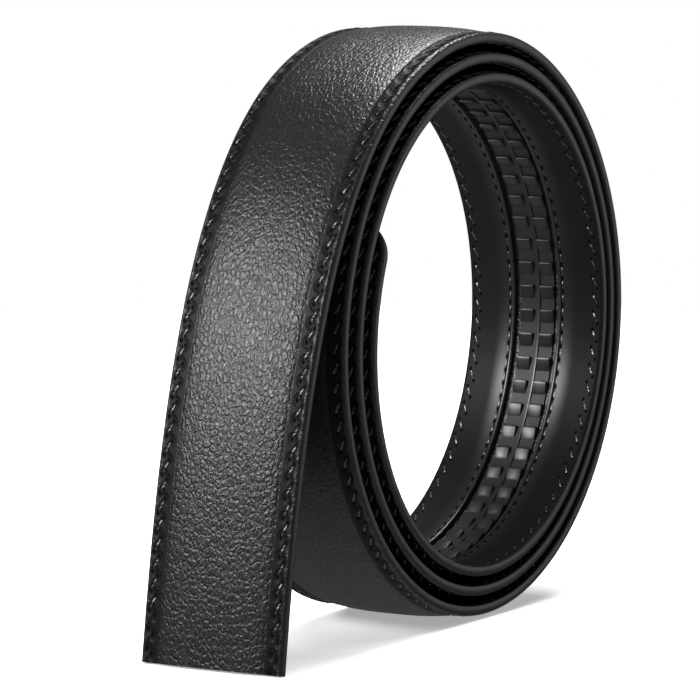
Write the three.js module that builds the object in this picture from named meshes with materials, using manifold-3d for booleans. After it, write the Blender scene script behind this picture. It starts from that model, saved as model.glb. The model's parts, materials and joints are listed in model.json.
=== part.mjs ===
// The leather strap of a ratchet belt, rolled up into a coil that stands on its rim,
// with the outer end hanging down as a leg. Millimetres, +X along the coil's rolling
// direction, +Y across the strap's width, +Z up, the floor at z = 0.
import * as THREE from 'three';
import { mergeVertices } from 'three/addons/utils/BufferGeometryUtils.js';
import Module from 'manifold-3d';

const wasm = await Module();
wasm.setup();

// Strap
const strapWidth = 35;
const liningThickness = 1.0;
const layerGap = 0.25;
const borderLeather = 1.15;
const crownRise = 0.9;
const borderWidth = 4.2;
const tongueLength = 11;

// Ratchet track and the slot in the lining that shows it
const slotWidth = 11.6;
const slotStart = 52;
const slotEnd = 263;
const trackSideClearance = 1.35;
const trackEndClearance = 1.2;
const trackFloorThickness = 0.4;
const columnGap = 1.7;
const toothPitch = 5.6;
const toothHeight = 0.75;
const toothLand = 0.7;
const toothRamp = 2.8;
const toothEndMargin = 6;
const edgeDraft = 0.08;

// Coil
const hollowHalfWidth = 50;
const hollowHalfHeight = 51.8;
const tipAngle = 145;
const releaseAngle = 126;
const wraps = 3;
const tightGap = 0.35;
const looseGap = 2.9;
const tightDirection = -4;
const loosening = 1.86;

// Free end: its bend relaxes from the coil's radius to nearly straight
const releaseRadius = 54;
const easeLength = 50;

// Fineness of the faceted solids
const coilStep = 6;
const freeStep = 7;
const tongueSteps = 7;
const crownPower = 5;
const crownStops = [-0.8, -0.45, 0, 0.45, 0.8];
const traceStep = 1;

// Heights above the lining's visible face, towards the grain side
const leatherBack = liningThickness + layerGap;
const borderTop = leatherBack + borderLeather;
const strapThickness = borderTop + crownRise;
const trackWidth = slotWidth - 2 * trackSideClearance;
const trackBack = leatherBack - layerGap;
const trackFloor = trackBack - trackFloorThickness;
const toothTop = trackFloor - toothHeight;

const radians = THREE.MathUtils.degToRad;

// Where the lining's face lies at an angle counted on from the strap's inner tip.
function coilPoint(angle) {
  const a = radians(angle);
  const hollow = 1 / Math.hypot(Math.cos(a) / hollowHalfWidth, Math.sin(a) / hollowHalfHeight);
  const swing = (1 - Math.cos(a - radians(tightDirection))) / 2;
  const turnGap = tightGap + (looseGap - tightGap) * swing ** loosening;
  const radius = hollow + (strapThickness + turnGap) * (angle - tipAngle) / 360;
  return new THREE.Vector2(radius * Math.cos(a), radius * Math.sin(a));
}

function coilStation(angle) {
  const ahead = coilPoint(angle + traceStep / 2);
  const along = ahead.sub(coilPoint(angle - traceStep / 2));
  return { point: coilPoint(angle), heading: Math.atan2(along.y, along.x) };
}

function onGrainSide(station, height) {
  const { point, heading } = station;
  return new THREE.Vector2(
    point.x + Math.sin(heading) * height,
    point.y - Math.cos(heading) * height,
  );
}

// The whole strap seen from its side: stations along the lining's face, each with its
// point, its heading and its distance from the tip.
function traceStrap() {
  const stations = [];
  const lastAngle = releaseAngle + 360 * wraps;
  for (let angle = tipAngle; angle < lastAngle; angle += traceStep) {
    stations.push({ ...coilStation(angle), angle });
  }
  stations.push({ ...coilStation(lastAngle), angle: lastAngle });
  const floor = Math.min(...stations.map((s) => onGrainSide(s, strapThickness).y));
  const release = stations.at(-1);
  const lowest = (s) => Math.min(s.point.y, onGrainSide(s, borderTop).y);
  let last = release;
  let run = 0;
  while (lowest(last) > floor) {
    run += traceStep;
    const turn = (easeLength / releaseRadius) * (1 - Math.exp(-run / easeLength));
    const heading = release.heading + turn;
    const middle = (heading + last.heading) / 2;
    const move = new THREE.Vector2(Math.cos(middle), Math.sin(middle)).multiplyScalar(traceStep);
    const next = { point: last.point.clone().add(move), heading };
    const drop = lowest(last) - lowest(next);
    const share = Math.min(1, (lowest(last) - floor) / drop);
    next.point = last.point.clone().addScaledVector(move, share);
    stations.push(next);
    if (share < 1) break;
    last = next;
  }
  let distance = 0;
  stations.forEach((s, i) => {
    if (i > 0) distance += s.point.distanceTo(stations[i - 1].point);
    s.distance = distance;
  });
  return { stations, floor, length: distance, release };
}

const strap = traceStrap();

// The station at any distance from the tip.
function stationAt(distance) {
  const { stations } = strap;
  let i = stations.findIndex((s) => s.distance > distance);
  if (i < 0) i = stations.length - 1;
  i = Math.max(i, 1);
  const [from, to] = [stations[i - 1], stations[i]];
  const share = (distance - from.distance) / (to.distance - from.distance);
  let turn = to.heading - from.heading;
  turn -= 2 * Math.PI * Math.round(turn / (2 * Math.PI));
  return {
    point: from.point.clone().lerp(to.point, share),
    heading: from.heading + turn * share,
  };
}

// Distances between two ends at which a strip follows the coil: the same angles in
// every turn, so that neighbouring turns are faceted alike.
function distancesBetween(from, to) {
  const picked = [from];
  for (const s of strap.stations) {
    const onStep = s.angle !== undefined && s.angle % coilStep === 0;
    if (onStep && s.distance > from + 1 && s.distance < to - 1) picked.push(s.distance);
  }
  const freeLength = strap.length - strap.release.distance;
  const freeSteps = Math.ceil(freeLength / freeStep);
  for (let i = 0; i < freeSteps; i += 1) {
    const d = strap.release.distance + freeLength * i / freeSteps;
    if (d > from + 1 && d < to - 1) picked.push(d);
  }
  picked.push(to);
  return picked.sort((a, b) => a - b);
}

// The half width at a distance from the tip: a half ellipse, then the full width.
function halfWidthAt(distance, inset = 0) {
  const half = strapWidth / 2 - inset;
  const left = (tongueLength - distance) / (tongueLength - inset);
  return left <= 0 ? half : half * Math.sqrt(Math.max(0, 1 - left * left));
}

// Stations of a strip with the rounded tongue at its start.
function tongueDistances() {
  const picked = [];
  for (let i = 0; i < tongueSteps; i += 1) {
    const turn = (Math.PI / 2) * (i + 0.5) / tongueSteps;
    picked.push(tongueLength * (1 - Math.cos(turn)));
  }
  return picked;
}

function place(distance, across, height) {
  const flat = onGrainSide(stationAt(distance), height);
  return [flat.x, across, flat.y];
}

// A closed strip through sections that run clockwise as (across, height) pairs, seen
// with the strap's width to the right and its grain side up.
function sweep(distances, sectionAt) {
  const sections = distances.map(sectionAt);
  const count = sections[0].length;
  const position = [];
  sections.forEach((section, i) => {
    section.forEach((p) => position.push(...place(distances[i], p.x, p.y)));
  });
  const index = [];
  for (let i = 0; i + 1 < sections.length; i += 1) {
    for (let j = 0; j < count; j += 1) {
      const a = i * count + j;
      const b = i * count + (j + 1) % count;
      index.push(a, b, b + count, a, b + count, a + count);
    }
  }
  addCap(index, sections[0], 0, false);
  addCap(index, sections.at(-1), (sections.length - 1) * count, true);
  const geometry = new THREE.BufferGeometry();
  geometry.setAttribute('position', new THREE.Float32BufferAttribute(position, 3));
  geometry.setIndex(index);
  return geometry;
}

function addCap(index, section, first, atEnd) {
  for (const [a, b, c] of THREE.ShapeUtils.triangulateShape(section, [])) {
    const turnsLeft = THREE.ShapeUtils.area([section[a], section[b], section[c]]) > 0;
    const order = turnsLeft === atEnd ? [a, c, b] : [a, b, c];
    index.push(...order.map((k) => first + k));
  }
}

function section(pairs) {
  return pairs.map(([across, height]) => new THREE.Vector2(across, height));
}

// Grain leather: flat stitched borders with the padded centre standing proud of them.
function faceLeather() {
  const sectionAt = (distance) => {
    const half = halfWidthAt(distance);
    const crownHalf = Math.max(halfWidthAt(distance, borderWidth), half / 4);
    const rise = crownRise * THREE.MathUtils.smoothstep(distance, borderWidth, tongueLength);
    const crown = crownStops.map((u) => {
      return [u * crownHalf, borderTop + rise * (1 - Math.abs(u) ** crownPower)];
    });
    return section([
      [-half, leatherBack],
      [-half, borderTop],
      [-crownHalf, borderTop],
      ...crown,
      [crownHalf, borderTop],
      [half, borderTop],
      [half, leatherBack],
    ]);
  };
  const distances = [...tongueDistances(), ...distancesBetween(tongueLength, strap.length)];
  return sweep(distances, sectionAt);
}

function plainStrip(distances, halfAt, low, high) {
  const sectionAt = (distance) => {
    const half = halfAt(distance);
    return section([[-half, low], [-half, high], [half, high], [half, low]]);
  };
  return sweep(distances, sectionAt);
}

function toManifold(geometry) {
  const bare = geometry.clone();
  bare.deleteAttribute('normal');
  bare.deleteAttribute('uv');
  const merged = mergeVertices(bare, 1e-5);
  return new wasm.Manifold(new wasm.Mesh({
    numProp: 3,
    vertProperties: new Float32Array(merged.attributes.position.array),
    triVerts: new Uint32Array(merged.index.array),
  }));
}

function fromManifold(solid) {
  const mesh = solid.getMesh();
  const geometry = new THREE.BufferGeometry();
  geometry.setAttribute('position', new THREE.BufferAttribute(mesh.vertProperties, 3));
  geometry.setIndex(new THREE.BufferAttribute(mesh.triVerts, 1));
  return geometry;
}

// Lining: a flat strip on the inside of the coil with one long slot for the track.
function lining() {
  const distances = [...tongueDistances(), ...distancesBetween(tongueLength, strap.length)];
  const whole = plainStrip(distances, (d) => halfWidthAt(d), 0, liningThickness);
  const past = liningThickness;
  const cutter = plainStrip(
    distancesBetween(slotStart, slotEnd),
    () => slotWidth / 2,
    -past,
    liningThickness + past,
  );
  return fromManifold(toManifold(whole).subtract(toManifold(cutter)));
}

// Ratchet track: a thin floor strip with two columns of teeth. Each tooth is steep on
// the side away from the tip and ramps down to the floor towards the tip.
function ratchetTrack() {
  const start = slotStart + trackEndClearance;
  const end = slotEnd - trackEndClearance;
  const half = trackWidth / 2;
  const inner = columnGap / 2;
  const heights = new Map([[start, trackFloor]]);
  const rows = Math.floor((end - start - toothEndMargin - toothPitch) / toothPitch);
  for (let row = rows; row >= 0; row -= 1) {
    const steep = end - toothEndMargin - row * toothPitch;
    heights.set(steep - toothLand - toothRamp, trackFloor);
    heights.set(steep - toothLand, toothTop);
    heights.set(steep, toothTop);
    heights.set(steep + edgeDraft, trackFloor);
  }
  heights.set(end, trackFloor);
  const sectionAt = (distance) => {
    const top = heights.get(distance);
    return section([
      [-half, top],
      [-half, trackBack],
      [half, trackBack],
      [half, top],
      [inner + edgeDraft, top],
      [inner, trackFloor],
      [-inner, trackFloor],
      [-inner - edgeDraft, top],
    ]);
  };
  return sweep([...heights.keys()], sectionAt);
}

function material(color, roughness) {
  return new THREE.MeshStandardMaterial({ color, roughness, metalness: 0 });
}

function piece(name, geometry, surface) {
  geometry.computeVertexNormals();
  const mesh = new THREE.Mesh(geometry, surface);
  mesh.name = name;
  return mesh;
}

function rolledBelt() {
  const belt = new THREE.Group();
  belt.add(
    piece('face_leather', faceLeather(), material('#191919', 0.5)),
    piece('lining', lining(), material('#141415', 0.42)),
    piece('ratchet_track', ratchetTrack(), material('#1d1e20', 0.4)),
  );
  // Stand the coil on the floor with the middle of its length over the origin.
  const box = new THREE.Box3().setFromObject(belt);
  belt.position.set(-(box.min.x + box.max.x) / 2, 0, -strap.floor);
  return belt;
}

export default rolledBelt();
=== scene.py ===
"""The strap of a ratchet belt, rolled up in three turns and standing on its edges.

Everything on the strap is made flat first: X runs from the tongue's tip to the free end,
Y across the strap, and -Z is the grain side. Each piece is then wound onto the belt line.
Lengths are in metres.
"""
import json
import math

import bmesh
import bpy
import numpy as np
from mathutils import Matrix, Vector

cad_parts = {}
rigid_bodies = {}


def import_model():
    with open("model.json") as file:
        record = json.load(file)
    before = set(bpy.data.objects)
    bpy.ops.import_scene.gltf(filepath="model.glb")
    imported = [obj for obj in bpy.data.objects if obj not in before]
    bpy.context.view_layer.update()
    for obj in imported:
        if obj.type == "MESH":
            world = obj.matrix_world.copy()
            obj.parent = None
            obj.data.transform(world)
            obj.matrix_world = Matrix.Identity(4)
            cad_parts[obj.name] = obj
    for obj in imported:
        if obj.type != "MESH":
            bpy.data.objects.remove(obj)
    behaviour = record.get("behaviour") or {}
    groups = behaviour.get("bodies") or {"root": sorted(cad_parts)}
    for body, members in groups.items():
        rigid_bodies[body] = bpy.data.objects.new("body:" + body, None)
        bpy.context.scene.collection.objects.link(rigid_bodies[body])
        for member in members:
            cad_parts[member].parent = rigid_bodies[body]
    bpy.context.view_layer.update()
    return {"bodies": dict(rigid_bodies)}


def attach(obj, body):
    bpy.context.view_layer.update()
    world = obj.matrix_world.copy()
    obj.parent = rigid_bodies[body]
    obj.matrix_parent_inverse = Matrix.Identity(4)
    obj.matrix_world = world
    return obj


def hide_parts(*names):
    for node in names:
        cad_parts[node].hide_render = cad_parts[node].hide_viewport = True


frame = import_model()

# Millimetres in a metre, for the finishes
MM = 1000

# The strap's section: heights above the lining's visible face, towards the grain side
HALF_WIDTH = 0.0175
LINING_BACK = 0.00100
LEATHER_BACK = 0.00104
BORDER_TOP = 0.00240
CROWN_RISE = 0.00090
STRAP_THICKNESS = BORDER_TOP + CROWN_RISE
BORDER_WIDTH = 0.0042
TONGUE_LENGTH = 0.011
CROWN_POWER = 3.0
ROW_STEP = 0.002

# How deep and how wide the grain side's small forms are
GRAIN_ROUNDING = (0.00034, 0.0007)
CROWN_CREASE = (0.00014, 0.00035)
GROOVE_WIDTH = 0.0008
LINING_ROUNDING = (0.00022, 0.0006)

# The slot in the lining and the lip round it: distances out from the slot, and heights there
SLOT_HALF = 0.0058
SLOT_START = 0.052
SLOT_END = 0.263
LIP_WIDTH = 0.0010
LIP_STEPS = (0.00010, 0.00015, 0.00025, 0.00025, 0.00025)
LIP_OUT = (0, 0.00025, 0.00050, 0.00075, 0.00090, LIP_WIDTH, 0.0014)
LIP_HEIGHTS = (0.00006, 0.00018, 0.00022, 0.00016, 0, -0.00006, 0)

# The ratchet track that shows in the slot
TRACK_HALF = 0.00445
TRACK_BACK = 0.00100
TRACK_FLOOR = 0.00060
TRACK_CLEARANCE = 0.0012
TRACK_BARE = 0.006
TOOTH_TOP = -0.00015
TOOTH_PITCH = 0.0056
TOOTH_LAND = 0.0007
TOOTH_RAMP = 0.0028
TOOTH_SINK = 0.0001
TOOTH_ROUNDING = 0.00018
COLUMN_INNER = 0.00085
RIB_OFFSET = 0.00055
RIB_FOOT = 0.00028
RIB_CREST = 0.00018
RIB_HEIGHT = 0.00030
TRACK_START = SLOT_START + TRACK_CLEARANCE
TRACK_END = SLOT_END - TRACK_CLEARANCE
FIRST_STEEP = TRACK_END - TRACK_BARE

# The roll, as it stands on the floor
COIL_MIDDLE = Vector((0.014712, 0, 0.065147))
HOLLOW_HALF_WIDTH = 0.050
HOLLOW_HALF_HEIGHT = 0.0518
TIP_ANGLE = 145
RELEASE_ANGLE = 126 + 3 * 360
TIGHT_GAP = 0.00035
LOOSE_GAP = 0.0029
TIGHT_DIRECTION = -4
LOOSENING = 1.86
RELEASE_RADIUS = 0.054
EASE_LENGTH = 0.050

# The seams along the borders
SEAM_PITCH = 0.00415
SEAM_SLANT = 0.0013
SEAM_OUTER = 0.0012
SEAM_INNER = 0.0025
SEAM_DEPTH = 0.00020
SEAM_END = 0.004
THREAD = 0.00030
LINING_THREAD_LEVEL = 0.00017
THREAD_SIDES = 6

# The seams beside the slot
SLOT_SEAM_PITCH = 0.0032
SLOT_SEAM_SLANT = 0.0006
SLOT_SEAM_MARGIN = 0.0012
SLOT_THREAD = 0.0002
SLOT_THREAD_LEVEL = 0.00018
SLOT_THREAD_RISE = 0.8

# One stitch: its share of the way across the seam, and its rise in millimetres
STITCH = ((0, -0.45), (0.08, -0.15), (0.22, 0.02), (0.5, 0.08), (0.78, 0.02), (0.92, -0.15), (1, -0.45))
THREAD_BURIED = -0.0005

# Half the length and half the width of needle holes and of the dents round them, in millimetres
GRAIN_HOLE = (0.60, 0.42)
GRAIN_DENT = (1.5, 1.0)
LINING_HOLE = (0.45, 0.3)
SLOT_HOLE = (0.75, 0.42)

# The painted edge: a bead in from the outline and down from the border's level
EDGE_INSET = 0.0001
EDGE_DROP = 0.0002
EDGE_REACH = 0.00028
EDGE_CLEARANCE = 0.00008
EDGE_END = 0.0003
EDGE_SIDES = 12

# How bright the room and its floor are in what the belt mirrors, and how far down one gives way
ROOM_LIGHT = 0.13
FLOOR_GLOW = 0.40
GLOW_START = -0.55
GLOW_FULL = -0.9

# The pale floor that the belt stands on
FLOOR_RADIUS = 0.65

# Lights: name, way from the aim, size (level, upright), power, distance, aim, mirrored or not
BELT_MIDDLE = (0, 0, 0.066)
LIGHTS = (
    ("top light", (0.45, 0.08, 0.86), (0.34, 0.45), 9.0, 0.9, BELT_MIDDLE, True),
    ("left light", (-0.79, 0.48, 0.48), (0.50, 0.22), 6.4, 0.8, BELT_MIDDLE, True),
    ("fill light", (0.75, -0.62, 0.10), (0.60, 0.50), 1.5, 0.9, BELT_MIDDLE, True),
    ("hollow light", (-0.69, 0.56, 0.45), (0.035, 0.05), 0.045, 0.107, (0.062, 0, 0.050), True),
    ("floor light", (0, 0, 1), (0.9, 0.9), 12, 1.0, BELT_MIDDLE, False),
)

# The photograph's view, in degrees and metres
VIEW_AZIMUTH = -60
VIEW_ELEVATION = 6.39
VIEW_DISTANCE = 1.2
VIEW_TARGET = Vector((0.01691, 0, 0.066))

# The picture's width, its focal length and the point that the lens looks at, in pixels
PICTURE = 700
VIEW_FOCAL = 5296.0
VIEW_CENTRE = (430.0, 320.7)

# The sensor's width in millimetres
SENSOR_WIDTH = 36


# The belt line

def coil_point(angle):
    """A point of the lining's face at this many degrees of winding."""
    turn = math.radians(angle)
    hollow = 1 / math.hypot(math.cos(turn) / HOLLOW_HALF_WIDTH, math.sin(turn) / HOLLOW_HALF_HEIGHT)
    swing = (1 - math.cos(turn - math.radians(TIGHT_DIRECTION))) / 2
    gap = TIGHT_GAP + (LOOSE_GAP - TIGHT_GAP) * swing ** LOOSENING
    reach = hollow + (STRAP_THICKNESS + gap) * (angle - TIP_ANGLE) / 360
    return COIL_MIDDLE + Vector((math.cos(turn), 0, math.sin(turn))) * reach


def belt_points():
    """The lining's face seen from the side, from the tip round the coil and down to the floor."""
    points = [coil_point(angle) for angle in range(TIP_ANGLE, RELEASE_ANGLE + 1)]
    leaving = coil_point(RELEASE_ANGLE + 0.5) - coil_point(RELEASE_ANGLE - 0.5)
    release = math.atan2(leaving.z, leaving.x)
    step, run, heading = 0.001, 0.0, release
    while True:
        run += step
        ahead = release + EASE_LENGTH / RELEASE_RADIUS * (1 - math.exp(-run / EASE_LENGTH))
        middle = (heading + ahead) / 2
        move = Vector((math.cos(middle), 0, math.sin(middle))) * step
        corner = min(0, -math.cos(ahead) * BORDER_TOP)
        left = points[-1].z + corner
        if left + move.z <= 0:
            points.append(points[-1] + move * (left / -move.z))
            return points
        points.append(points[-1] + move)
        heading = ahead


def make_belt_line():
    """The curve that the flat pieces are wound onto, and its length."""
    points = belt_points()
    line = bpy.data.curves.new("belt_line", "CURVE")
    line.dimensions = "2D"
    line.use_deform_bounds = False
    spline = line.splines.new("POLY")
    spline.points.add(len(points) - 1)
    for knot, point in zip(spline.points, points):
        knot.co = (point.x, point.z, 0, 1)
    holder = bpy.data.objects.new("belt_line", line)
    holder.rotation_euler.x = math.radians(90)
    bpy.context.scene.collection.objects.link(holder)
    length = sum((b - a).length for a, b in zip(points, points[1:]))
    return holder, length


# Handling pieces

def take(piece):
    """Makes a piece the only one selected."""
    bpy.ops.object.select_all(action="DESELECT")
    piece.select_set(True)
    bpy.context.view_layer.objects.active = piece


def named(name):
    """Names the piece that was just added."""
    piece = bpy.context.object
    piece.name = name
    piece.data.name = name
    return piece


def open_up(piece):
    """Goes into edit mode on a piece, with nothing selected."""
    take(piece)
    bpy.ops.object.mode_set(mode="EDIT")
    bpy.ops.mesh.select_mode(type="FACE")
    bpy.ops.mesh.select_all(action="DESELECT")


def merge_all():
    """In edit mode, merges what coincides."""
    bpy.ops.mesh.select_all(action="SELECT")
    bpy.ops.mesh.remove_doubles(threshold=0.000002)


def close_up():
    """Merges what coincides, turns the faces outwards and leaves edit mode."""
    merge_all()
    bpy.ops.mesh.normals_make_consistent(inside=False)
    bpy.ops.object.mode_set(mode="OBJECT")


def thicken(rise):
    """In edit mode, draws the whole sheet out into a solid, and leaves edit mode."""
    bpy.ops.mesh.select_all(action="SELECT")
    bpy.ops.mesh.extrude_region_move(TRANSFORM_OT_translate={"value": (0, 0, rise)})
    close_up()


def pick_faces(piece, test):
    """In edit mode, selects the faces whose middles pass a test."""
    shape = bmesh.from_edit_mesh(piece.data)
    for face in shape.faces:
        face.select_set(test(face.calc_center_median()))
    shape.select_flush_mode()
    bmesh.update_edit_mesh(piece.data)


def points_of(piece):
    """The places of a piece's vertices, as rows of three."""
    places = np.empty(len(piece.data.vertices) * 3)
    piece.data.vertices.foreach_get("co", places)
    return places.reshape(-1, 3)


def put_points(piece, places):
    """Moves a piece's vertices to these places."""
    piece.data.vertices.foreach_set("co", places.ravel())
    piece.data.update()


def laid_grid(name, rows, columns, place):
    """A grid whose lines are laid at rows along the strap and columns across it or round it.

    place(row values, column values) gives x, y and z.
    """
    bpy.ops.object.select_all(action="DESELECT")
    bpy.ops.mesh.primitive_grid_add(
        x_subdivisions=len(rows) - 1, y_subdivisions=len(columns) - 1, size=1)
    piece = named(name)
    spots = points_of(piece)
    row = np.rint((spots[:, 0] + 0.5) * (len(rows) - 1)).astype(int)
    column = np.rint((spots[:, 1] + 0.5) * (len(columns) - 1)).astype(int)
    x, y, z = place(np.asarray(rows)[row], np.asarray(columns)[column])
    put_points(piece, np.stack([x, y, z], 1))
    return piece


def add_map(piece, name, across, along):
    """Gives a piece a UV map from two numbers at each vertex."""
    corners = np.empty(len(piece.data.loops), int)
    piece.data.loops.foreach_get("vertex_index", corners)
    sheet = piece.data.uv_layers.new(name=name)
    sheet.data.foreach_set("uv", np.stack([across[corners], along[corners]], 1).ravel())


def wind(piece, line):
    """Winds a flat piece onto the belt line and smooths it."""
    take(piece)
    bend = piece.modifiers.new("winding", "CURVE")
    bend.object = line
    bend.deform_axis = "POS_X"
    bpy.ops.object.modifier_apply(modifier=bend.name)
    bpy.ops.object.shade_smooth_by_angle(angle=math.radians(40))


def settle(piece, finish, slot, *nodes):
    """Dresses a finished piece and sets it on the belt."""
    piece.data.materials.clear()
    piece.data.materials.append(finish)
    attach(piece, BODY)
    if nodes:
        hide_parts(*nodes)


# The flat outline: a strap with a half ellipse for its tongue

TIP_TURNS = np.linspace(0, math.pi / 2, 400)
TIP_POINTS = np.stack(
    [TONGUE_LENGTH * (1 - np.cos(TIP_TURNS)), HALF_WIDTH * np.sin(TIP_TURNS)], 1)
TIP_RUNS = np.concatenate([[0], np.cumsum(np.hypot(*np.diff(TIP_POINTS, axis=0).T))])
TIP_ARC = TIP_RUNS[-1]
RING_REACH = 0.006


def half_width_at(distance, inset):
    """Half the width, at a distance from the tip, of the outline moved in by an inset."""
    half = HALF_WIDTH - inset
    left = np.clip((TONGUE_LENGTH - distance) / (TONGUE_LENGTH - inset), 0, 1)
    return half * np.sqrt(1 - left * left)


def strap_place(distance, across):
    """Where a place on the straight strap comes to lie once the tongue is rounded."""
    inset = HALF_WIDTH - np.abs(across)
    ring = np.minimum(inset, RING_REACH)
    share = np.abs(across) / (HALF_WIDTH - ring)
    return np.sign(across) * half_width_at(distance, ring) * share


def strap_at(height):
    """How a grid is laid over the strap's outline, all of it at one height."""
    return lambda distance, across: (
        distance, strap_place(distance, across), np.full_like(distance, height))


def seam_place(x, y):
    """How far a flat point lies along the outline from the tip, and how far in from it."""
    inset = np.clip(HALF_WIDTH - np.abs(y), 0, None)
    run = TIP_ARC + (x - TONGUE_LENGTH)
    near = x < TONGUE_LENGTH
    low, high = np.zeros(near.sum()), np.full(near.sum(), TONGUE_LENGTH * 0.999)
    ahead, side = TONGUE_LENGTH - x[near], np.abs(y[near])
    for _ in range(40):
        middle = (low + high) / 2
        outside = (ahead / (TONGUE_LENGTH - middle)) ** 2 + (side / (HALF_WIDTH - middle)) ** 2 > 1
        high = np.where(outside, middle, high)
        low = np.where(outside, low, middle)
    inset[near] = low
    turn = np.arctan2(side / (HALF_WIDTH - low), ahead / (TONGUE_LENGTH - low))
    run[near] = np.interp(turn, TIP_TURNS, TIP_RUNS)
    return run * np.where(y < 0, -1, 1), inset


def outline_place(run, inset):
    """The flat point at a run along the outline and an inset from it, and the way outwards."""
    turn = np.interp(np.abs(run), TIP_RUNS, TIP_TURNS)
    side = np.where(run < 0, -1.0, 1.0)
    past = np.clip(np.abs(run) - TIP_ARC, 0, None)
    x = TONGUE_LENGTH - (TONGUE_LENGTH - inset) * np.cos(turn) + past
    y = side * (HALF_WIDTH - inset) * np.sin(turn)
    out_x, out_y = -HALF_WIDTH * np.cos(turn), side * TONGUE_LENGTH * np.sin(turn)
    size = np.hypot(out_x, out_y)
    return x, y, out_x / size, out_y / size


def strap_rows(*extra):
    """Distances from the tip: close together round the tongue, then evenly to the free end."""
    tongue = TONGUE_LENGTH * (1 - np.cos(np.linspace(0, math.pi / 2, 25)))
    straight = np.linspace(TONGUE_LENGTH, LENGTH, round((LENGTH - TONGUE_LENGTH) / ROW_STEP))
    keep = [d for d in straight if all(abs(d - e) > ROW_STEP / 3 for e in extra)]
    return np.unique(np.concatenate([tongue, keep, extra]))


def both_sides(insets):
    """Places across the strap, from the near edge to the far one, at insets in millimetres."""
    side = HALF_WIDTH - np.asarray(insets) / MM
    return np.unique(np.round(np.concatenate([-side, side]), 7))


# Pieces

def rounding(inset, form):
    """How far a cut edge is rounded down, at an inset from the outline."""
    depth, width = form
    return depth * np.clip(1 - inset / width, 0, 1) ** 2


def hollow_line(inset, middle, depth, width):
    """The depth of a soft hollow that runs along the strap at an inset of middle."""
    return depth * np.exp(-((inset - middle) / width) ** 2)


def crown_height(inset):
    """How far the grain side rises over the border's level, at an inset from the outline."""
    across = np.clip((HALF_WIDTH - inset) / (HALF_WIDTH - BORDER_WIDTH), 0, 1)
    crown = CROWN_RISE * (1 - across ** CROWN_POWER)
    crease = hollow_line(inset, BORDER_WIDTH, *CROWN_CREASE)
    groove = hollow_line(inset, (SEAM_OUTER + SEAM_INNER) / 2, SEAM_DEPTH, GROOVE_WIDTH)
    return crown - rounding(inset, GRAIN_ROUNDING) - crease - groove


def make_grain_leather():
    """The grain leather over its padding: a flat back, plain borders and a crown between them."""
    columns = both_sides([0, 0.15, 0.35, 0.7, 1.1, 1.5, 1.85, 2.2, 2.7, 3.3, 3.9, 4.2, 4.5, 4.9, 5.5,
                          6.3, 7.5, 9, 11.5, 14.5, 17.5])
    piece = laid_grid("grain_leather", strap_rows(), columns, strap_at(-LEATHER_BACK))
    open_up(piece)
    thicken(LEATHER_BACK - BORDER_TOP)
    spots = points_of(piece)
    top = spots[:, 2] < -(LEATHER_BACK + BORDER_TOP) / 2
    run, inset = seam_place(spots[:, 0].copy(), spots[:, 1])
    spots[top, 2] -= crown_height(np.minimum(inset, HALF_WIDTH))[top]
    put_points(piece, spots)
    add_map(piece, "flat", spots[:, 0], spots[:, 1])
    add_map(piece, "seam", run, inset)
    return piece


def make_lining():
    """The lining: a thin sheet with the long slot, whose rim is turned up into a lip."""
    start, end, side = SLOT_START - LIP_WIDTH, SLOT_END + LIP_WIDTH, SLOT_HALF + LIP_WIDTH
    outer = both_sides([0, 0.2, 0.5, 1.0, 2.2, 4.0, 6.0, 8.0, 9.5, 10.3])
    columns = np.unique(np.concatenate([outer, [-side, side, -0.003, 0, 0.003]]))
    rows = strap_rows(start, end, start - 0.0004, end + 0.0004)
    piece = laid_grid("lining_leather", rows, columns, strap_at(-LINING_BACK))
    open_up(piece)
    pick_faces(piece, lambda c: start < c.x < end and abs(c.y) < side)
    for width in LIP_STEPS:
        bpy.ops.mesh.inset(thickness=width, depth=0, use_even_offset=True)
    bpy.ops.mesh.delete(type="FACE")
    thicken(LINING_BACK)
    spots = points_of(piece)
    shown = spots[:, 2] > -LINING_BACK / 2
    run, inset = seam_place(spots[:, 0].copy(), spots[:, 1])
    out_x = np.maximum(SLOT_START - spots[:, 0], spots[:, 0] - SLOT_END)
    margin = np.maximum(out_x, np.abs(spots[:, 1]) - SLOT_HALF)
    rise = np.interp(margin, LIP_OUT, LIP_HEIGHTS) - rounding(inset, LINING_ROUNDING)
    spots[shown, 2] += rise[shown]
    put_points(piece, spots)
    add_map(piece, "flat", spots[:, 0], spots[:, 1])
    add_map(piece, "seam", run, inset)
    return piece


def bead(name, runs, insets, heights, half_across, half_high, sides, lay=outline_place):
    """A round bead or thread that follows the outline through runs, insets and heights."""
    turns = np.linspace(0, 2 * math.pi, sides + 1)
    x0, y0, out_x, out_y = lay(runs, insets)

    def place(at, turn):
        reach = half_across * np.cos(turn)
        return (x0[at] + out_x[at] * reach, y0[at] + out_y[at] * reach,
                -heights[at] - half_high * np.sin(turn))

    piece = laid_grid(name, np.arange(len(runs)), turns, place)
    order = np.arange(len(piece.data.vertices))
    add_map(piece, "twist", runs[order % len(runs)], order // len(runs) / sides)
    open_up(piece)
    merge_all()
    bpy.ops.mesh.select_all(action="DESELECT")
    bpy.ops.mesh.select_mode(type="EDGE")
    bpy.ops.mesh.select_non_manifold(extend=False)
    bpy.ops.mesh.fill_holes(sides=0)
    close_up()
    return piece


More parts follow.
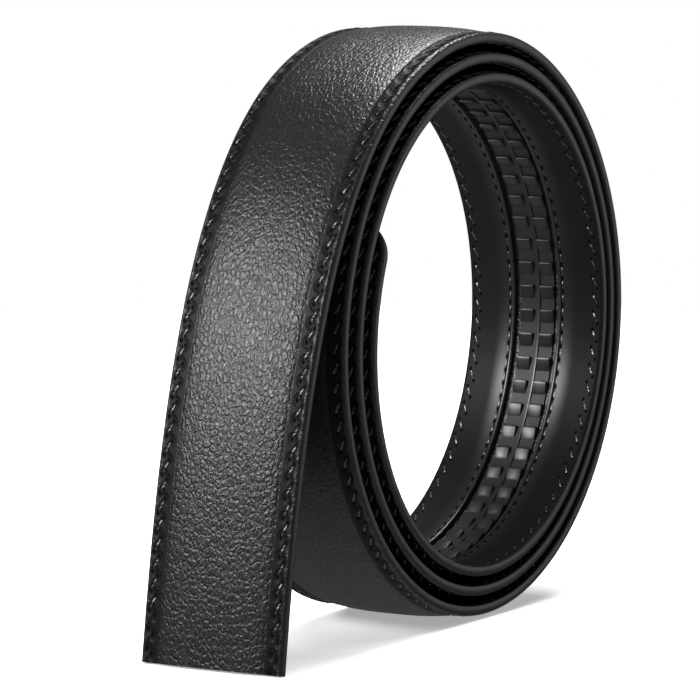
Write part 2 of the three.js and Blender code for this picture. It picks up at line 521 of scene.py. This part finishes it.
def make_edge_paint():
    """The painted edge: a low bead over both layers' cut edges, round the whole strap."""
    tip = np.linspace(-TIP_ARC, TIP_ARC, 61)
    straight = np.linspace(TIP_ARC, TIP_ARC + LENGTH - TONGUE_LENGTH - EDGE_END, 595)[1:]
    runs = np.concatenate([-straight[::-1], tip, straight])
    middle = (BORDER_TOP - EDGE_DROP) / 2
    return bead("painted_edge", runs, np.full(len(runs), EDGE_INSET), np.full(len(runs), middle),
                EDGE_REACH, middle - EDGE_CLEARANCE, EDGE_SIDES)


def stitch_runs(first, last, pitch, slant):
    """Runs, shares across and rises of a thread that goes in and out of slanting needle slits."""
    places = []
    for stitch in range(math.ceil(first / pitch), math.floor((last - pitch) / pitch)):
        start = stitch * pitch + slant
        for share, rise in STITCH:
            places.append((start + (pitch - slant) * share, share, rise / MM))
        places.append((start + pitch - slant / 2, 0.5, THREAD_BURIED))
    return np.array(places).T


def make_border_seam(name, top, outwards):
    """A thread along both borders and round the tongue, on the grain side or the lining."""
    last = TIP_ARC + LENGTH - TONGUE_LENGTH - SEAM_END
    run, share, rise = stitch_runs(-last, last, SEAM_PITCH, SEAM_SLANT)
    inset = SEAM_INNER + (SEAM_OUTER - SEAM_INNER) * share
    return bead(name, run, inset, top + outwards * rise, THREAD, THREAD, THREAD_SIDES)


def make_slot_seam(name, side):
    """A straight thread in the lining beside the slot, on the far side (1) or the near one (-1)."""
    run, _, rise = stitch_runs(SLOT_START, SLOT_END, SLOT_SEAM_PITCH, SLOT_SEAM_SLANT)

    def beside_slot(runs, margins):
        return runs, side * (SLOT_HALF + margins), np.zeros_like(runs), np.ones_like(runs)

    return bead(name, run, np.full_like(run, SLOT_SEAM_MARGIN),
                SLOT_THREAD_LEVEL - rise * SLOT_THREAD_RISE,
                SLOT_THREAD, SLOT_THREAD, THREAD_SIDES, beside_slot)


def make_track():
    """The ratchet track: a thin floor strip with a fine rib and two columns of teeth."""
    rows = np.linspace(TRACK_START, TRACK_END, 106)
    rib = np.array([-RIB_FOOT, -RIB_CREST, RIB_CREST, RIB_FOOT]) - RIB_OFFSET
    piece = laid_grid("ratchet_teeth", rows, [-TRACK_HALF, *rib, COLUMN_INNER, TRACK_HALF],
                      lambda distance, across: (distance, across, np.full_like(distance, -TRACK_BACK)))
    open_up(piece)
    thicken(TRACK_BACK - TRACK_FLOOR)
    spots = points_of(piece)
    shown = spots[:, 2] > -(TRACK_BACK + TRACK_FLOOR) / 2
    crest = shown & (np.abs(spots[:, 1] + RIB_OFFSET) < (RIB_CREST + RIB_FOOT) / 2)
    spots[crest, 2] += RIB_HEIGHT
    put_points(piece, spots)
    teeth = make_teeth()
    take(piece)
    teeth.select_set(True)
    bpy.ops.object.join()
    spots = points_of(piece)
    add_map(piece, "flat", spots[:, 0], -spots[:, 2])
    return piece


def make_teeth():
    """One tooth, steep on the side away from the tip, copied along both columns."""
    low, high = TRACK_FLOOR + TOOTH_SINK, TOOTH_TOP
    length, width = TOOTH_LAND + TOOTH_RAMP, TRACK_HALF - COLUMN_INNER
    middle = Vector((FIRST_STEEP - length / 2, (TRACK_HALF + COLUMN_INNER) / 2, -(low + high) / 2))
    bpy.ops.object.select_all(action="DESELECT")
    bpy.ops.mesh.primitive_cube_add(size=1, location=middle, scale=(length, width, low - high))
    tooth = named("tooth")
    bpy.ops.object.transform_apply(location=True, rotation=True, scale=True)
    spots = points_of(tooth)
    ramp_end = (spots[:, 2] > -(low + high) / 2) & (spots[:, 0] < FIRST_STEEP - length / 2)
    spots[ramp_end, 0] += TOOTH_RAMP
    put_points(tooth, spots)
    soften = tooth.modifiers.new("soft edges", "BEVEL")
    soften.width = TOOTH_ROUNDING
    soften.segments = 3
    soften.limit_method = "ANGLE"
    row = tooth.modifiers.new("row", "ARRAY")
    row.count = int((TRACK_END - TRACK_START - TRACK_BARE - TOOTH_PITCH) / TOOTH_PITCH) + 1
    row.use_relative_offset = False
    row.use_constant_offset = True
    row.constant_offset_displace = (-TOOTH_PITCH, 0, 0)
    pair = tooth.modifiers.new("pair", "MIRROR")
    pair.use_axis = (False, True, False)
    take(tooth)
    for name in ("soft edges", "row", "pair"):
        bpy.ops.object.modifier_apply(modifier=name)
    open_up(tooth)
    close_up()
    return tooth


# Finishes

class Wire:
    """One socket of a finish. Arithmetic on it adds the Math nodes that work it out."""

    def __init__(self, finish, socket):
        self.finish, self.socket = finish, socket

    def maths(self, operation, first, second=0.0):
        """The result of one Math node."""
        return self.finish.node("Math", {"operation": operation}, {0: first, 1: second})

    def __add__(self, other):
        return self.maths("ADD", self, other)

    __radd__ = __add__

    def __sub__(self, other):
        return self.maths("SUBTRACT", self, other)

    def __rsub__(self, other):
        return self.maths("SUBTRACT", other, self)

    def __mul__(self, other):
        return self.maths("MULTIPLY", self, other)

    __rmul__ = __mul__

    def __truediv__(self, other):
        return self.maths("DIVIDE", self, other)

    def __abs__(self):
        return self.maths("ABSOLUTE", self)


class Finish:
    """A procedural finish while it is put together."""

    def __init__(self, name):
        self.material = bpy.data.materials.new(name)
        self.material.use_nodes = True
        self.tree = self.material.node_tree
        self.tree.nodes.clear()

    def fill(self, socket, value):
        """Links a wire to a socket, or sets the socket to a plain value."""
        if isinstance(value, Wire):
            self.tree.links.new(value.socket, socket)
        else:
            socket.default_value = value

    def node(self, kind, settings=None, inputs=None, output=0):
        """Adds a node, sets it up, fills its sockets and hands back one of its outputs."""
        made = self.tree.nodes.new("ShaderNode" + kind)
        for key, value in (settings or {}).items():
            setattr(made, key, value)
        for key, value in (inputs or {}).items():
            self.fill(made.inputs[key], value)
        return Wire(self, made.outputs[output]) if len(made.outputs) else None

    def ease(self, value, low, high):
        """0 below low, 1 above high and smooth between."""
        return self.node("MapRange", {"interpolation_type": "SMOOTHSTEP"},
                         {"Value": value, "From Min": low, "From Max": high})

    def larger(self, one, other):
        """The larger of two numbers."""
        return self.node("Math", {"operation": "MAXIMUM"}, {0: one, 1: other})

    def wave(self, angle, kind="SINE"):
        """The sine of an angle, or its cosine."""
        return self.node("Math", {"operation": kind}, {0: angle})

    def turn_in_pitch(self, run, pitch):
        """How far a run lies from the nearest multiple of a pitch."""
        return run.maths("FLOORED_MODULO", run + pitch / 2, pitch) - pitch / 2

    def hole(self, along, across):
        """1 inside a round hole of radius 1, fading to 0 round it."""
        return 1 - self.ease(along * along + across * across, 0.25, 1.3)

    def map_in_mm(self, name):
        """A UV map with its numbers in millimetres."""
        plain = self.node("UVMap", {"uv_map": name})
        return self.node("VectorMath", {"operation": "SCALE"}, {0: plain, "Scale": float(MM)})

    def place(self):
        """Where a point lies, in metres."""
        return self.node("TexCoord", output=3)

    def parts(self, vector):
        """The first two numbers of a vector."""
        split = self.node("SeparateXYZ", None, {0: vector})
        return split, Wire(self, split.socket.node.outputs[1])

    def noise(self, vector, scale, detail=3.0, roughness=0.5, output=0):
        """Cloudy noise from 0 to 1, or a vector of it from output 1."""
        return self.node("TexNoise", None, {
            "Vector": vector, "Scale": scale, "Detail": detail, "Roughness": roughness}, output)

    def pebbles(self, vector, scale):
        """0 in the creases between pebbles and 1 on their tops."""
        edge = self.node("TexVoronoi", {"feature": "DISTANCE_TO_EDGE"}, {"Vector": vector, "Scale": scale})
        return self.ease(edge, 0.0, 0.30)

    def blend(self, share, one, other):
        """A mix of two colours."""
        mix = self.tree.nodes.new("ShaderNodeMix")
        mix.data_type = "RGBA"
        for socket, value in ((0, share), (6, one), (7, other)):
            self.fill(mix.inputs[socket], value)
        return Wire(self, mix.outputs[2])

    def surface(self, color, roughness, height, depth, **constants):
        """A shader from colour, roughness and the relief's height and depth."""
        bump = self.node("Bump", None, {"Strength": 1.0, "Distance": depth, "Height": height})
        inputs = {"Base Color": color, "Roughness": roughness, "Normal": bump}
        inputs.update(constants)
        return self.node("BsdfPrincipled", None, inputs)

    def done(self, surface, over=None, share=0.0):
        """Ends the finish with its surface, or with a share of another surface over it."""
        if over:
            surface = self.node("MixShader", None, {0: share, 1: surface, 2: over})
        self.node("OutputMaterial", None, {"Surface": surface})
        return self.material


def needle_holes(finish, seam, size):
    """1 inside the needle holes along both borders, fading to 0 round them."""
    run, inset = finish.parts(seam)
    length, width = size
    masks = []
    for start, middle in ((0, SEAM_OUTER), (SEAM_SLANT, SEAM_INNER)):
        along = finish.turn_in_pitch(run - start * MM, SEAM_PITCH * MM) / length
        masks.append(finish.hole(along, (inset - middle * MM) / width))
    return finish.larger(*masks)


def slot_needle_holes(finish, flat):
    """1 inside the needle holes of the two seams beside the slot."""
    along, across = finish.parts(flat)
    length, width = SLOT_HOLE
    step = finish.turn_in_pitch(along - SLOT_SEAM_SLANT * MM / 2, SLOT_SEAM_PITCH * MM) / length
    margin = (abs(across) - (SLOT_HALF + SLOT_SEAM_MARGIN) * MM) / width
    inside = (finish.ease(along, SLOT_START * MM, SLOT_START * MM + 1)
              * (1 - finish.ease(along, SLOT_END * MM - 1, SLOT_END * MM)))
    return finish.hole(step, margin) * inside


def grain_finish():
    """Black leather: pebbled on the crown, plain on the borders, with needle holes in them; painted shade
    darkens the creases between the pebbles and the holes.
    """
    f = Finish("pebbled black leather")
    flat, seam = f.map_in_mm("flat"), f.map_in_mm("seam")
    run, inset = f.parts(seam)
    stirred = f.node("VectorMath", {"operation": "MULTIPLY_ADD"},
                     {0: flat, 1: (0.68, 1.0, 1.0), 2: f.noise(flat, 0.5, output=1)})
    pebbles = f.pebbles(stirred, 0.88) * 0.72 + f.pebbles(stirred, 2.0) * 0.28
    crown = f.ease(inset, BORDER_WIDTH * MM - 0.3, BORDER_WIDTH * MM + 0.3)
    ripple = f.wave(run * (2 * math.pi / (SEAM_PITCH * MM)), "COSINE")
    rim = 1 - f.ease(inset + ripple * 0.22, 0.35, 0.95)
    fine = f.noise(flat, 2.6, 4.0, 0.6)
    patchy = f.noise(flat, 0.09, 2.0)
    holes = needle_holes(f, seam, GRAIN_HOLE)
    dents = needle_holes(f, seam, GRAIN_DENT)
    # The pebbles' tops are a little lighter than the creases between them: painted shade in the creases.
    tops = f.blend(pebbles, (0.003, 0.003, 0.0032, 1), (0.008, 0.008, 0.0083, 1))
    padded = f.surface(tops, 0.27 + 0.14 * (1 - pebbles) + 0.06 * (patchy - 0.5),
                       pebbles + fine * 0.12 + patchy * 0.6, 0.00009, IOR=1.5)
    # Inside the needle holes the border's colour goes near black: painted shade in the holes.
    border_with_hole_shade = f.blend(holes, (0.004, 0.004, 0.0042, 1), (0.0003, 0.0003, 0.0003, 1))
    border = f.surface(border_with_hole_shade, 0.46 + 0.3 * holes, fine * 0.2 - dents * 1.6 - holes * 3.0,
                       0.00010, IOR=1.22)
    return f.done(border, padded, f.larger(crown, rim * (1 - holes)))


def lining_finish():
    """Smooth black lining leather with a soft sheen, more polished close to the slot, and painted shade in
    its needle holes.
    """
    f = Finish("smooth black lining")
    flat, seam = f.map_in_mm("flat"), f.map_in_mm("seam")
    fine = f.noise(flat, 1.6, 4.0, 0.6)
    slow = f.noise(flat, 0.12, 3.0)
    holes = f.larger(needle_holes(f, seam, LINING_HOLE), slot_needle_holes(f, flat))
    relief = fine * 0.10 + slow * 0.8 - holes * 2.0
    color = f.blend(slow, (0.004, 0.004, 0.0044, 1), (0.008, 0.008, 0.0085, 1))
    # Inside the needle holes of the border seams and the slot seams the colour goes near black: painted
    # shade in the holes.
    color = f.blend(holes, color, (0.0005, 0.0005, 0.0005, 1))
    sheet = f.surface(color, 0.44 + 0.10 * (slow - 0.5) + 0.3 * holes, relief, 0.00010, IOR=1.14)
    along, across = f.parts(flat)
    beyond = f.larger(SLOT_START * MM - along, along - SLOT_END * MM)
    margin = f.larger(beyond, abs(across) - SLOT_HALF * MM)
    lip = f.surface((0.010, 0.010, 0.0105, 1), 0.30, fine, 0.00002, IOR=1.5)
    rim = 1 - f.ease(margin, LIP_WIDTH * MM - 0.25, LIP_WIDTH * MM - 0.05)
    polish = (1 - f.ease(margin, 1.5, 5.0)) * 0.42 * (1 - holes)
    return f.done(sheet, lip, f.larger(rim, polish))


def track_finish():
    """Moulded black plastic, duller on the strip between the teeth."""
    f = Finish("moulded black plastic")
    place = f.place()
    fine = f.noise(place, 2500.0, 3.0)
    slow = f.noise(place, 160.0, 2.0)
    color = f.blend(slow, (0.007, 0.0075, 0.008, 1), (0.012, 0.0125, 0.013, 1))
    teeth = f.surface(color, 0.32 + 0.12 * (slow - 0.5), fine * 0.3 + slow, 0.00003, IOR=1.42)
    strip = f.surface(color, 0.46 + 0.12 * (slow - 0.5), fine * 0.5 + slow, 0.00003, IOR=1.3)
    _, depth = f.parts(f.map_in_mm("flat"))
    return f.done(teeth, strip, f.ease(depth, TRACK_FLOOR * MM - 0.2, TRACK_FLOOR * MM - 0.02))


def thread_finish():
    """Waxed black thread, twisted, with painted shade between its strands."""
    f = Finish("waxed black thread")
    run, around = f.parts(f.node("UVMap", {"uv_map": "twist"}))
    twist = f.wave((run * 900.0 + around) * (2 * math.pi))
    # The twist is lighter on its ridges and darker between them, following its bump: painted shade between
    # the strands.
    color = f.blend(twist * 0.5 + 0.5, (0.010, 0.010, 0.010, 1), (0.030, 0.030, 0.030, 1))
    return f.done(f.surface(color, 0.32 + 0.08 * twist, twist, 0.00003, IOR=1.65))


def edge_finish():
    """Edge paint: smooth black, a little uneven from the roller."""
    f = Finish("black edge paint")
    place = f.place()
    slow = f.noise(place, 220.0, 2.0)
    fine = f.noise(place, 1800.0, 3.0)
    color = f.blend(slow, (0.006, 0.006, 0.0064, 1), (0.011, 0.011, 0.0115, 1))
    return f.done(f.surface(color, 0.42 + 0.12 * (slow - 0.5), slow + 0.15 * fine, 0.00006, IOR=1.35))


# Stage

def make_floor():
    """A round pale floor, small enough for the lights to cover all of it evenly."""
    bpy.ops.object.select_all(action="DESELECT")
    bpy.ops.mesh.primitive_circle_add(vertices=128, radius=FLOOR_RADIUS, fill_type="NGON")
    floor = named("floor")
    f = Finish("pale floor")
    surface = f.node("BsdfPrincipled", None, {
        "Base Color": (0.93, 0.93, 0.93, 1), "Roughness": 0.7, "Specular IOR Level": 0.2,
        "Emission Color": (1, 1, 1, 1), "Emission Strength": 0.36})
    floor.data.materials.append(f.done(surface))
    floor.visible_glossy = False


def add_light(name, away, size, power, distance, aim, mirrored):
    """A soft light, this way from where it is aimed, which the camera doesn't see."""
    lamp = bpy.data.lights.new(name, "AREA")
    lamp.shape = "RECTANGLE"
    lamp.size, lamp.size_y = size
    lamp.energy = power
    holder = bpy.data.objects.new(name, lamp)
    bpy.context.scene.collection.objects.link(holder)
    way = Vector(away).normalized()
    holder.location = Vector(aim) + way * distance
    holder.rotation_euler = way.to_track_quat("Z", "Y").to_euler()
    holder.visible_camera = False
    holder.visible_glossy = mirrored


def make_light():
    """Soft lights in a dim room, paler underfoot, behind which the picture's background is white."""
    world = bpy.data.worlds.new("studio")
    bpy.context.scene.world = world
    world.use_nodes = True
    tree = world.node_tree
    way = tree.nodes.new("ShaderNodeTexCoord")
    split = tree.nodes.new("ShaderNodeSeparateXYZ")
    depth = tree.nodes.new("ShaderNodeMapRange")
    for socket, value in (("From Min", GLOW_START), ("From Max", GLOW_FULL),
                          ("To Min", ROOM_LIGHT), ("To Max", FLOOR_GLOW)):
        depth.inputs[socket].default_value = value
    path = tree.nodes.new("ShaderNodeLightPath")
    level = tree.nodes.new("ShaderNodeMapRange")
    level.inputs["To Max"].default_value = 1.0
    room = tree.nodes["Background"]
    room.inputs["Color"].default_value = (1, 1, 1, 1)
    tree.links.new(way.outputs["Generated"], split.inputs[0])
    tree.links.new(split.outputs["Z"], depth.inputs["Value"])
    tree.links.new(depth.outputs["Result"], level.inputs["To Min"])
    tree.links.new(path.outputs["Is Camera Ray"], level.inputs["Value"])
    tree.links.new(level.outputs["Result"], room.inputs["Strength"])
    for light in LIGHTS:
        add_light(*light)
    bpy.context.scene.view_settings.view_transform = "Standard"


def make_camera():
    """The photograph's view: its direction, distance and lens."""
    azimuth, elevation = math.radians(VIEW_AZIMUTH), math.radians(VIEW_ELEVATION)
    back = Vector((math.sin(azimuth) * math.cos(elevation), -math.cos(azimuth) * math.cos(elevation),
                   math.sin(elevation)))
    right = Vector((math.cos(azimuth), math.sin(azimuth), 0))
    up = back.cross(right)
    shift_x, shift_y = [(PICTURE / 2 - centre) / VIEW_FOCAL for centre in VIEW_CENTRE]
    aim = -back + right * shift_x - up * shift_y
    camera = bpy.data.cameras.new("camera")
    camera.sensor_width = SENSOR_WIDTH
    camera.lens = VIEW_FOCAL * SENSOR_WIDTH / PICTURE
    camera.clip_start, camera.clip_end = 0.01, 60
    holder = bpy.data.objects.new("camera", camera)
    bpy.context.scene.collection.objects.link(holder)
    holder.location = VIEW_TARGET + back * VIEW_DISTANCE
    holder.rotation_euler = (-aim).to_track_quat("Z", "Y").to_euler()
    bpy.context.scene.camera = holder


# Making

BODY = next(iter(frame["bodies"]))
belt_line, LENGTH = make_belt_line()

grain = make_grain_leather()
lining = make_lining()
track = make_track()
edge = make_edge_paint()
grain_seam = make_border_seam("grain_side_thread", BORDER_TOP - SEAM_DEPTH, 1)
lining_seam = make_border_seam("lining_side_thread", LINING_THREAD_LEVEL, -1)
slot_seams = [make_slot_seam("near_slot_thread", -1), make_slot_seam("far_slot_thread", 1)]
for flat_piece in (grain, lining, track, edge, grain_seam, lining_seam, *slot_seams):
    wind(flat_piece, belt_line)
bpy.data.objects.remove(belt_line)

thread = thread_finish()
settle(grain, grain_finish(), "face_leather", "face_leather")
settle(lining, lining_finish(), "lining_leather", "lining")
settle(track, track_finish(), "track_plastic", "ratchet_track")
settle(edge, edge_finish(), "face_leather")
settle(grain_seam, thread, "face_leather")
settle(lining_seam, thread, "lining_leather")
for slot_seam in slot_seams:
    settle(slot_seam, thread, "lining_leather")

make_floor()
make_light()
make_camera()
